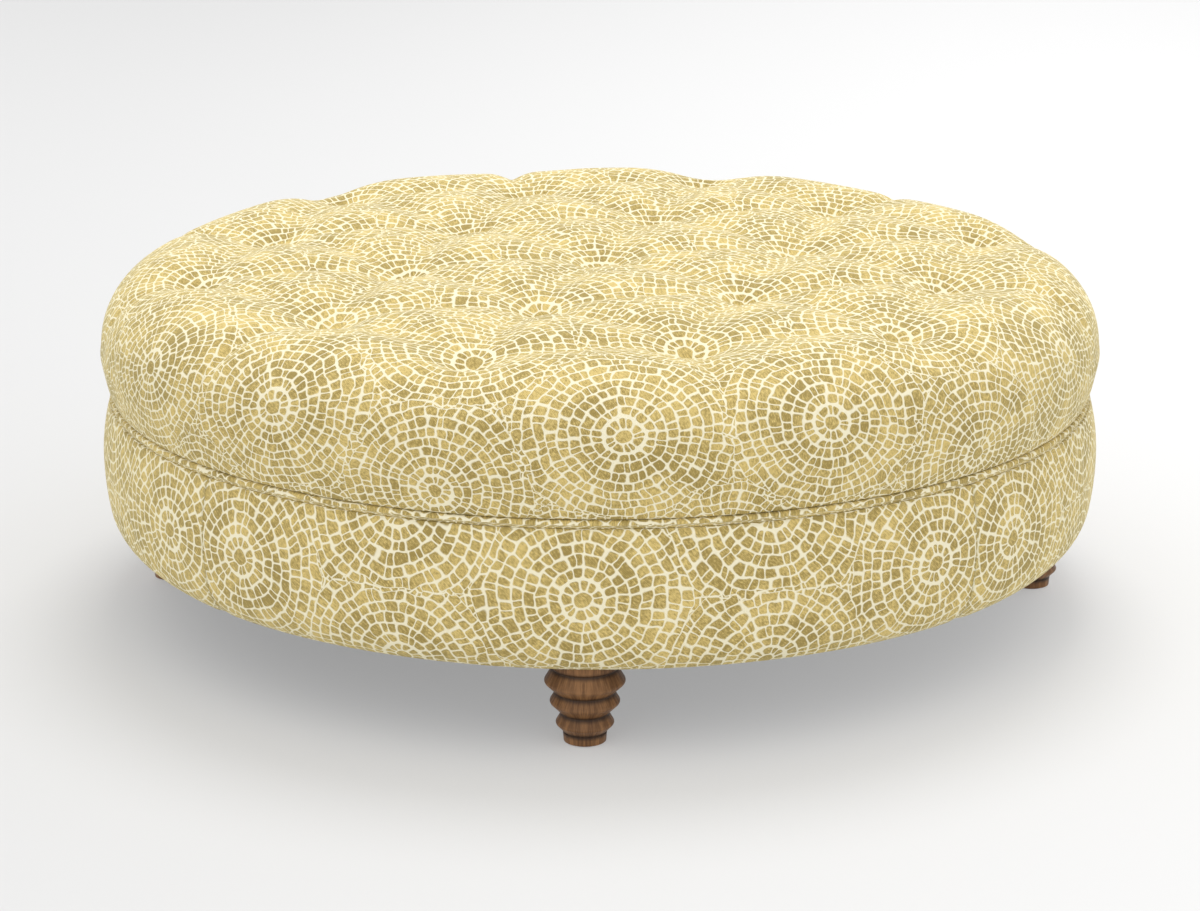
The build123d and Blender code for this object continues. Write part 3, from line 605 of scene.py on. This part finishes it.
# The materials of all slots; one motif of the cushion's mosaic lies at each tuft
base_motif_column = 207.0 * mm
base_motif_row = 180.0 * mm
cushion_cloth = cloth_material("cushion_cloth", tuft_spacing * sqrt(3) / 2, tuft_spacing)
base_cloth = cloth_material("base_cloth", base_motif_column, base_motif_row)
ply_layer = 2.6 * mm
along_x = 0
along_z = 2
zinc_scale = 400.0
washer_scale = 300.0
staple_scale = 900.0
foam_scale = 1500.0
foam_relief = 0.4 * mm
batting_scale = 500.0
batting_relief = 0.8 * mm
cotton_scale = 2500.0
cotton_relief = 0.2 * mm
strip_scale = 700.0
strip_relief = 0.1 * mm
dust_cloth_scale = 800.0
dust_cloth_relief = 0.2 * mm
slot_materials = {
    "leg_wood": leg_material(),
    "glide_nylon": plastic_material("nylon", (0.03, 0.025, 0.02), (0.06, 0.05, 0.045)),
    "zinc_steel": metal_material("zinc_steel", (0.75, 0.76, 0.78), zinc_scale),
    "washer_steel": metal_material("washer_steel", (0.62, 0.62, 0.64), washer_scale),
    "staple_wire": metal_material("staple_wire", (0.78, 0.78, 0.8), staple_scale),
    "plywood": board_material("plywood", along_x, (0.42, 0.27, 0.13), (0.68, 0.5, 0.29), ply_layer),
    "frame_lumber": board_material("frame_lumber", along_z, (0.5, 0.33, 0.16), (0.75, 0.57, 0.34)),
    "upholstery_foam": fibre_material(
        "foam", (0.75, 0.7, 0.52), (0.88, 0.84, 0.68), foam_scale, foam_relief
    ),
    "fibre_batting": fibre_material(
        "batting", (0.8, 0.8, 0.79), (0.93, 0.93, 0.92), batting_scale, batting_relief
    ),
    "cotton_cord": fibre_material(
        "cotton", (0.7, 0.66, 0.55), (0.88, 0.85, 0.76), cotton_scale, cotton_relief
    ),
    "tack_strip_board": fibre_material(
        "board", (0.34, 0.24, 0.14), (0.5, 0.38, 0.24), strip_scale, strip_relief
    ),
    "dust_cover_cloth": fibre_material(
        "dust_cloth", (0.012, 0.012, 0.012), (0.03, 0.03, 0.03), dust_cloth_scale, dust_cloth_relief
    ),
    "cover_fabric": base_cloth,
}
for row in frame["record"]["subparts"]:
    mesh = frame["nodes"][row["node"]].data
    mesh.materials.clear()
    mesh.materials.append(slot_materials[row["material_slot"]])


def arc_points(centre, radius, start, end, step):
    """Points along an arc of a section, (radius from the axis, height), start and end included."""
    count = max(2, round(abs(end - start) * radius / step) + 1)
    angles = np.linspace(start, end, count)
    return np.column_stack((centre[0] + radius * np.cos(angles), centre[1] + radius * np.sin(angles)))


def crown(radius):
    """The height of the cushion's crown at a radius, before any tuft is drawn in."""
    share_out = np.minimum(radius / shoulder_radius, 1.0)
    return shoulder_height + cushion_crown * (1 - share_out**2)


def tuft_places():
    """The tufts' places: every lattice point up to the outer ring, turned by the tufts' angle."""
    places = []
    for i in range(-tuft_rings, tuft_rings + 1):
        for j in range(-tuft_rings, tuft_rings + 1):
            if abs(i + j) <= tuft_rings:
                along = tuft_spacing * (i + j / 2)
                across = tuft_spacing * j * sqrt(3) / 2
                places.append(
                    (
                        along * cos(tuft_turn) - across * sin(tuft_turn),
                        along * sin(tuft_turn) + across * cos(tuft_turn),
                    )
                )
    return np.array(places)


def bow_radius(half_chord, rise):
    """The radius of an arc that rises that much over half its chord."""
    return (half_chord**2 + rise**2) / (2 * rise)


def dimple(distance):
    """How high the crown stays at a distance from one tuft: a dome down to a narrow throat."""
    dome = bow_radius(tuft_reach - tuft_throat, tuft_drop)
    held = np.clip(distance, tuft_throat, tuft_reach)
    height = tuft_rise - dome + np.sqrt(dome**2 - (tuft_reach - held) ** 2)
    throat_floor = tuft_rise - dome + sqrt(dome**2 - (tuft_reach - tuft_throat) ** 2)
    inwards = np.clip(1 - distance / tuft_throat, 0, 1)
    return height - inwards * (tuft_depth + throat_floor)


def pleat(across, over):
    """How deep a pleat lies at a distance from its line, at an angle over the roll."""
    total_drop = pleat_depth + tuft_rise
    wall = bow_radius(pleat_half_width, total_drop)
    side = pleat_half_width - np.clip(np.abs(across), 0, pleat_half_width)
    rise = np.sqrt(wall**2 - side**2) - sqrt(wall**2 - pleat_half_width**2)
    path = cushion_roll_radius + pleat_fade
    drop = pleat_depth + pleat_fade
    reach = np.sqrt(path**2 - (drop * np.sin(over)) ** 2) - drop * np.cos(over)
    return np.maximum(cushion_roll_radius - reach - rise, 0)


def lengths_along(section):
    """The length along a section up to each of its points."""
    steps = np.hypot(*np.diff(section, axis=0).T)
    return np.concatenate(([0], np.cumsum(steps)))


def new_mesh(name, points, faces):
    """A mesh from an array of points and a list of faces."""
    mesh = bpy.data.meshes.new(name)
    mesh.from_pydata(points.tolist(), [], faces)
    mesh.update()
    return mesh


def band(first, second):
    """Faces with four corners between two closed loops of vertex numbers of one length."""
    return [(first[k - 1], first[k], second[k], second[k - 1]) for k in range(len(first))]


def zip_rings(first, second):
    """Triangles between two rings of vertex numbers that both start at angle 0."""
    faces = []
    a = b = 0
    while a < len(first) or b < len(second):
        take_first = b >= len(second) or (a < len(first) and (a + 1) * len(second) <= (b + 1) * len(first))
        here, there = first[a % len(first)], second[b % len(second)]
        if take_first:
            a += 1
            faces.append((here, first[a % len(first)], there))
        else:
            b += 1
            faces.append((here, second[b % len(second)], there))
    return faces


def ringed_mesh(name, section, counts):
    """A closed surface of revolution: one ring of vertices for each point of its section."""
    angles = [np.arange(count) * 2 * pi / count for count in counts]
    points = [
        np.column_stack((r * np.cos(turn), r * np.sin(turn), np.full(len(turn), z)))
        for (r, z), turn in zip(section, angles)
    ]
    starts = np.concatenate(([0], np.cumsum(counts)))
    rings = [list(range(starts[k], starts[k + 1])) for k in range(len(counts))]
    faces = []
    for inner, outer in zip(rings, rings[1:]):
        faces += [tuple(reversed(face)) for face in zip_rings(inner, outer)]
    ring_of = np.repeat(np.arange(len(counts)), counts)
    return new_mesh(name, np.concatenate(points), faces), ring_of, np.concatenate(angles)


def add_cloth_uv(mesh, u, v):
    """Stores the cloth's own coordinates of each vertex, in metres."""
    layer = mesh.uv_layers.new(name="cloth")
    corners = np.zeros(len(mesh.loops), dtype=np.int32)
    mesh.loops.foreach_get("vertex_index", corners)
    layer.data.foreach_set("uv", np.column_stack((u[corners], v[corners])).astype(np.float32).ravel())


def link(name, mesh, material):
    """A new object with smooth faces and one material."""
    piece = bpy.data.objects.new(name, mesh)
    bpy.context.scene.collection.objects.link(piece)
    mesh.materials.append(material)
    mesh.polygons.foreach_set("use_smooth", [True] * len(mesh.polygons))
    return piece


def coordinates(mesh):
    """The places of a mesh's vertices, as an array."""
    points = np.zeros(len(mesh.vertices) * 3)
    mesh.vertices.foreach_get("co", points)
    return points.reshape(-1, 3)


def set_coordinates(mesh, points):
    """Moves a mesh's vertices to the places of an array."""
    mesh.vertices.foreach_set("co", points.astype(np.float32).ravel())
    mesh.update()


def apply_modifiers(piece):
    """Makes a piece's evaluated mesh its own."""
    graph = bpy.context.evaluated_depsgraph_get()
    shown = piece.evaluated_get(graph)
    made = bpy.data.meshes.new_from_object(shown, preserve_all_data_layers=True, depsgraph=graph)
    old = piece.data
    piece.modifiers.clear()
    piece.data = made
    made.name = piece.name
    bpy.data.meshes.remove(old)


# Cushion cloth: rings of vertices along its section, out over the roll and in under the deck
cloth_step = 8.0 * mm
underside_step = 60.0 * mm


def cushion_section():
    """The section's points from the centre of the top round to the centre below, and each ring's count."""
    top_count = round(shoulder_radius / cloth_step)
    top = np.linspace(0, shoulder_radius, top_count + 1)
    roll = arc_points((shoulder_radius, cushion_widest_height), cushion_roll_radius, pi / 2, 0, cloth_step)
    tuck_centre = (cushion_radius - cushion_tuck_radius, cushion_widest_height)
    tuck = arc_points(tuck_centre, cushion_tuck_radius, 0, -cushion_side_lean, cloth_step)
    drop = tuck[-1][1] - cushion_rest_height
    edge = (tuck[-1][0] - drop * tan(cushion_side_lean), cushion_rest_height)
    lean = np.linspace(tuck[-1], edge, round(drop / cloth_step) + 1)
    round_off = cushion_edge_round / 2
    corner = [
        [edge[0], edge[1] + round_off],
        [edge[0] - round_off, edge[1]],
        [cushion_rest_radius, cushion_rest_height],
        [cushion_rest_radius, cushion_hem_height],
    ]
    under_radii = np.arange(cushion_rest_radius - underside_step / 2, underside_step / 2, -underside_step)
    under = np.column_stack((under_radii, np.full(len(under_radii), cushion_hem_height)))
    centre = [[0.0, cushion_hem_height]]
    outside = (np.column_stack((top, crown(top))), roll[1:], tuck[1:], lean[1:-1], corner)
    section = np.concatenate((*outside, under, centre))
    side_count = len(section) - len(top) - len(under) - len(centre)
    counts = [1] + [ring_corners * k for k in range(1, top_count + 1)]
    counts += [ring_corners * top_count] * side_count
    counts += [ring_corners * max(1, round(r / cloth_step / ring_corners)) for r in under_radii] + [1]
    return section, counts


# How much more of the mosaic the cloth takes up than its own length, on top and down the side
side_start = 626.8 * mm
top_draw = 1.042
side_draw = 1.31


def motif_radius(along):
    """The radius in the flat mosaic of a place that far along the cloth, which is drawn in."""
    beyond = np.maximum(along - side_start, 0)
    return np.minimum(along, side_start) * top_draw + beyond * side_draw


# Valleys in the cloth, from each tuft to its neighbours
valley_depth = 14.0 * mm
valley_half_width = 32.0 * mm
valley_blend = 9.0 * mm
valley_least = 0.1 * mm


def valleys(x, y):
    """How deep the cloth sinks between every two tufts that are neighbours."""
    places = tuft_places()
    depth = np.zeros(len(x))
    for number, start in enumerate(places):
        for end in places[number + 1 :]:
            along = end - start
            if np.hypot(*along) > tuft_spacing + cloth_step:
                continue
            share = ((x - start[0]) * along[0] + (y - start[1]) * along[1]) / tuft_spacing**2
            share = np.clip(share, 0, 1)
            off = np.hypot(x - start[0] - share * along[0], y - start[1] - share * along[1])
            depth = np.maximum(depth, valley_depth * np.exp(-((off / valley_half_width) ** 2)))
    return depth


def tufted_height(x, y):
    """How high the crown stays at a place, with its tufts and valleys: negative where it is drawn in."""
    height = np.full(len(x), tuft_rise)
    for place in tuft_places():
        height = np.minimum(height, dimple(np.hypot(x - place[0], y - place[1])))
    sunk = -valleys(x, y)
    blend = np.maximum(valley_blend - np.abs(height - sunk), 0) / valley_blend
    sunk = np.minimum(height, sunk) - blend**2 * valley_blend / 4
    height = np.where(sunk < -valley_least, sunk, height)
    inside = np.clip((shoulder_radius - np.hypot(x, y)) / tuft_throat, 0, 1)
    return np.where(height > 0, height * inside, height)


def pleated_depth(radius, angle, over):
    """How deep the pleats lie at a radius, an angle round the cushion and an angle over its roll."""
    depth = np.zeros(len(radius))
    corner = tuft_rings * tuft_spacing
    for number in range(2 * ring_corners):
        direction = tuft_turn + number * half_pleat_step
        start = corner if number % 2 == 0 else corner * cos(half_pleat_step)
        along = radius * np.cos(angle - direction)
        across = radius * np.sin(angle - direction)
        begun = np.clip((along - start + tuft_throat) / tuft_throat, 0, 1)
        depth = np.maximum(depth, np.where(along > 0, pleat(across, over) * begun, 0))
    return depth


def drawn_in(points):
    """The closed cushion with its tufts and pleats drawn in."""
    x, y, z = points.T
    radius = np.hypot(x, y)
    angle = np.arctan2(y, x)
    upper = z > cushion_widest_height
    over = np.arctan2(np.maximum(radius - shoulder_radius, 0), np.maximum(z - cushion_widest_height, 0))
    height = tufted_height(x, y)
    depth = np.where(upper, np.maximum(pleated_depth(radius, angle, over), -height), 0)
    rise = np.where(upper & (radius < shoulder_radius), np.maximum(height, 0), 0)
    outwards = np.column_stack((np.sin(over) * np.cos(angle), np.sin(over) * np.sin(angle), np.cos(over)))
    return points + outwards * (rise - depth)[:, None]


# Cloth simulation of the cushion
cushion_pressure = 2.0
cushion_slack = 0.02
cushion_stretch = 15
cushion_shear = 5
cushion_bending = 0.5
cushion_cloth_mass = 0.3
cushion_quality = 6
pin_radius = 0.6 * cloth_step
cushion_cap = 6.0 * mm
side_cap = 2.5 * mm
cushion_frames = 20


def hold(piece, start, radius):
    """Puts the vertices of the cushion's hem and of its tufts in a group that stays where it is."""
    held = piece.vertex_groups.new(name="held")
    low = np.flatnonzero(start[:, 2] < cushion_rest_height + cushion_edge_round)
    held.add(low.tolist(), 1.0, "REPLACE")
    for place in tuft_places():
        near = np.hypot(start[:, 0] - place[0], start[:, 1] - place[1]) < pin_radius
        pins = np.flatnonzero(near & (start[:, 2] > cushion_widest_height) & (radius < shoulder_radius))
        held.add(pins.tolist(), 1.0, "REPLACE")


def simulate_cushion(piece):
    """Fills the cushion with pressure, held at its tufts and hem, and keeps every point near its start."""
    start = coordinates(piece.data)
    radius = np.hypot(start[:, 0], start[:, 1])
    hold(piece, start, radius)
    cloth = piece.modifiers.new("Cloth", "CLOTH")
    settings = cloth.settings
    settings.vertex_group_mass = "held"
    settings.quality = cushion_quality
    settings.mass = cushion_cloth_mass
    settings.tension_stiffness = cushion_stretch
    settings.compression_stiffness = cushion_stretch
    settings.shear_stiffness = cushion_shear
    settings.bending_stiffness = cushion_bending
    settings.use_pressure = True
    settings.uniform_pressure_force = cushion_pressure
    settings.shrink_min = -cushion_slack
    settings.effector_weights.gravity = 0
    cloth.collision_settings.use_collision = False
    cloth.point_cache.frame_start = 1
    cloth.point_cache.frame_end = cushion_frames
    for number in range(1, cushion_frames + 1):
        bpy.context.scene.frame_set(number)
    apply_modifiers(piece)
    bpy.context.scene.frame_set(1)
    moved = coordinates(piece.data) - start
    length = np.linalg.norm(moved, axis=1)
    outer = np.clip((radius - shoulder_radius) / cushion_roll_radius, 0, 1)
    cap = cushion_cap + (side_cap - cushion_cap) * outer
    share = cap / (cap + length)
    set_coordinates(piece.data, start + moved * share[:, None])


def cushion_piece():
    """The tufted cushion as one closed padded form in its cloth."""
    section, counts = cushion_section()
    mesh, ring_of, angle = ringed_mesh("tufted_cushion", section, counts)
    flat = motif_radius(lengths_along(section))[ring_of]
    turned = angle + tuft_turn
    add_cloth_uv(mesh, flat * np.cos(turned), flat * np.sin(turned))
    piece = link("tufted_cushion", mesh, cushion_cloth)
    set_coordinates(mesh, drawn_in(coordinates(mesh)))
    simulate_cushion(piece)
    smooth = piece.modifiers.new("Subdivision", "SUBSURF")
    smooth.levels = smooth.render_levels = 1
    apply_modifiers(piece)
    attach(piece, "root")
    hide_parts("cushion_cover", "cushion_batting", "cushion_foam")


# Base: padded panels round the frame, with a drawn-in seam between each two
base_step = 6.0 * mm
seam_gap = 0.12 * mm
base_motif_height = 186.0 * mm
seam_depth = 1.7 * mm
seam_reach = 9.0 * mm


def base_section():
    """The section of a padded panel: top flange, bow, turn under and hem, then back up the frame."""
    lower_radius = bow_radius(base_widest_height - base_turn_height, base_turn_inset)
    turn_angle = asin((base_widest_height - base_turn_height) / lower_radius)
    slide = lower_radius - base_turn_radius
    turn_centre = (
        base_radius - lower_radius + slide * cos(turn_angle),
        base_widest_height - slide * sin(turn_angle),
    )
    upper_centre = (base_radius - base_upper_bow_radius, base_widest_height)
    rise_angle = asin((base_top - base_widest_height) / base_upper_bow_radius)
    end_angle = asin((turn_centre[1] - base_underside) / base_turn_radius)
    upper = arc_points(upper_centre, base_upper_bow_radius, rise_angle, 0, base_step)
    lower_centre = (base_radius - lower_radius, base_widest_height)
    lower = arc_points(lower_centre, lower_radius, 0, -turn_angle, base_step)
    under = arc_points(turn_centre, base_turn_radius, -turn_angle, -end_angle, base_step)
    inner_top = [[base_inner_radius, base_top]]
    inner_low = [[base_inner_radius, base_underside]]
    return np.concatenate((inner_top, upper, lower[1:], under[1:], inner_low))


def cloth_normals(section):
    """The outward direction at each point of a panel's section, and zero at its two inner corners."""
    run = np.gradient(section, axis=0)
    outwards = np.column_stack((-run[:, 1], run[:, 0]))
    outwards /= np.linalg.norm(outwards, axis=1)[:, None]
    outwards[[0, -1]] = 0
    return outwards


def base_panel(name, middle):
    """One padded panel of the base, drawn in at its two seams."""
    section = base_section()
    count = round(base_radius * pi / 2 / base_step)
    half_turn = pi / 4 - seam_gap / base_radius
    turns = np.linspace(-half_turn, half_turn, count)
    from_seam = (pi / 4 - np.abs(turns)) * base_radius
    depth = seam_depth * np.exp(-((from_seam / seam_reach) ** 2))
    radius, height = (section - cloth_normals(section) * depth[:, None, None]).transpose(2, 0, 1)
    angle = (middle + turns)[:, None]
    points = np.stack((radius * np.cos(angle), radius * np.sin(angle), height), axis=2)
    loops = np.arange(radius.size).reshape(radius.shape).tolist()
    faces = [tuple(loops[0]), tuple(reversed(loops[-1]))]
    for first, second in zip(loops, loops[1:]):
        faces += band(first, second)
    mesh = new_mesh(name, points.reshape(-1, 3), faces)
    along = lengths_along(section)
    widest = np.argmin(np.hypot(section[:, 0] - base_radius, section[:, 1] - base_widest_height))
    up = along[widest] - along + base_widest_height - base_motif_height
    add_cloth_uv(mesh, np.repeat(base_radius * turns, len(section)), np.tile(up, count))
    piece = link(f"padded_panel_{name}", mesh, base_cloth)
    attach(piece, "root")
    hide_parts(f"base_cover_{name}")
    return piece


# Welt: how square its section is, and how far it stands out to lie flush with the panels
welt_squareness = 0.5
welt_flush = 2.6 * mm
welt_step = 8.0 * mm
welt_sides = 16


def welt_piece():
    """The welt: a cord in its cloth, with the cloth's own coordinates along and round it."""
    count = round(welt_radius * 2 * pi / welt_step)
    turns = np.arange(count) * 2 * pi / count
    tube = np.arange(welt_sides) * 2 * pi / welt_sides
    turn, tilt = np.meshgrid(turns, tube, indexing="ij")
    out = np.sign(np.cos(tilt)) * np.abs(np.cos(tilt)) ** welt_squareness
    up = np.sign(np.sin(tilt)) * np.abs(np.sin(tilt)) ** welt_squareness
    r = (welt_radius + welt_tube_radius * out + welt_flush * np.maximum(out, 0)).ravel()
    turn = turn.ravel()
    z = (welt_height + welt_tube_radius * up).ravel()
    points = np.column_stack((r * np.cos(turn), r * np.sin(turn), z))
    loops = np.arange(count * welt_sides).reshape(count, -1).tolist()
    faces = []
    for k in range(count):
        faces += band(loops[k], loops[k - 1])
    mesh = new_mesh("welt", points, faces)
    along = turn * welt_radius
    across = (tilt * welt_tube_radius).ravel()
    add_cloth_uv(mesh, (along + across) / sqrt(2), (along - across) / sqrt(2))
    piece = link("welt", mesh, base_cloth)
    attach(piece, "root")
    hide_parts("welt_cover", "welt_cord")


cushion_piece()
panels = [base_panel(name, middle) for name, middle in panel_angles.items()]
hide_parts("base_padding")
welt_piece()


# Floor and lights; the floor glows a little more at the right
floor_half = 30.0
floor_left = -1.5
floor_right = 1.3
floor_albedo = 0.44
floor_roughness = 0.9
floor_glow_left = 0.222
floor_glow_right = 0.382
world_strength = 1.04
top_light_place = (0.3, 2.3, 6.0)
top_light_size = 3.0
top_light_power = 165.0
front_light_place = (-2.4, -4.7, 0.4)
front_light_size = 3.0
front_light_power = 21.0


def stage():
    """A plain pale floor that glows a little, under an even sky."""
    corners = np.array([(-1, -1, 0), (1, -1, 0), (1, 1, 0), (-1, 1, 0)])
    wiring = Wiring("floor")
    x, _, _ = wiring.parts(wiring.place())
    glow = wiring.span(x, floor_left, floor_right, floor_glow_left, floor_glow_right)
    wiring.feed(wiring.shader.inputs["Emission Strength"], glow)
    white = (1.0, 1.0, 1.0, 1.0)
    pale = (floor_albedo, floor_albedo, floor_albedo, 1.0)
    paint = wiring.finish(pale, floor_roughness, constants={"Emission Color": white})
    link("floor", new_mesh("floor", corners * floor_half, [(0, 1, 2, 3)]), paint)
    world = bpy.data.worlds.new("studio")
    world.use_nodes = True
    sky = world.node_tree.nodes["Background"].inputs
    sky["Color"].default_value = white
    sky["Strength"].default_value = world_strength
    bpy.context.scene.world = world


def soft_light(name, place, size, power):
    """A large area light that looks at the cushion."""
    data = bpy.data.lights.new(name, "AREA")
    data.shape = "DISK"
    data.size = size
    data.energy = power
    light = bpy.data.objects.new(name, data)
    light.location = place
    aim = Vector((0, 0, cushion_widest_height)) - Vector(place)
    light.rotation_euler = aim.to_track_quat("-Z", "Y").to_euler()
    bpy.context.scene.collection.objects.link(light)


def add_camera():
    """The camera, which looks at the object as the photograph does."""
    data = bpy.data.cameras.new("camera")
    data.lens = camera_lens
    data.sensor_width = camera_sensor
    data.sensor_fit = "HORIZONTAL"
    camera = bpy.data.objects.new("camera", data)
    across = camera_distance * sin(camera_azimuth)
    back = camera_distance * cos(camera_azimuth)
    camera.location = (across, -back, camera_height)
    camera.rotation_euler = (pi / 2 - camera_pitch, 0, camera_azimuth)
    bpy.context.scene.collection.objects.link(camera)
    bpy.context.scene.camera = camera


stage()
soft_light("top_light", top_light_place, top_light_size, top_light_power)
soft_light("front_light", front_light_place, front_light_size, front_light_power)
add_camera()
bpy.context.scene.view_settings.view_transform = "Standard"
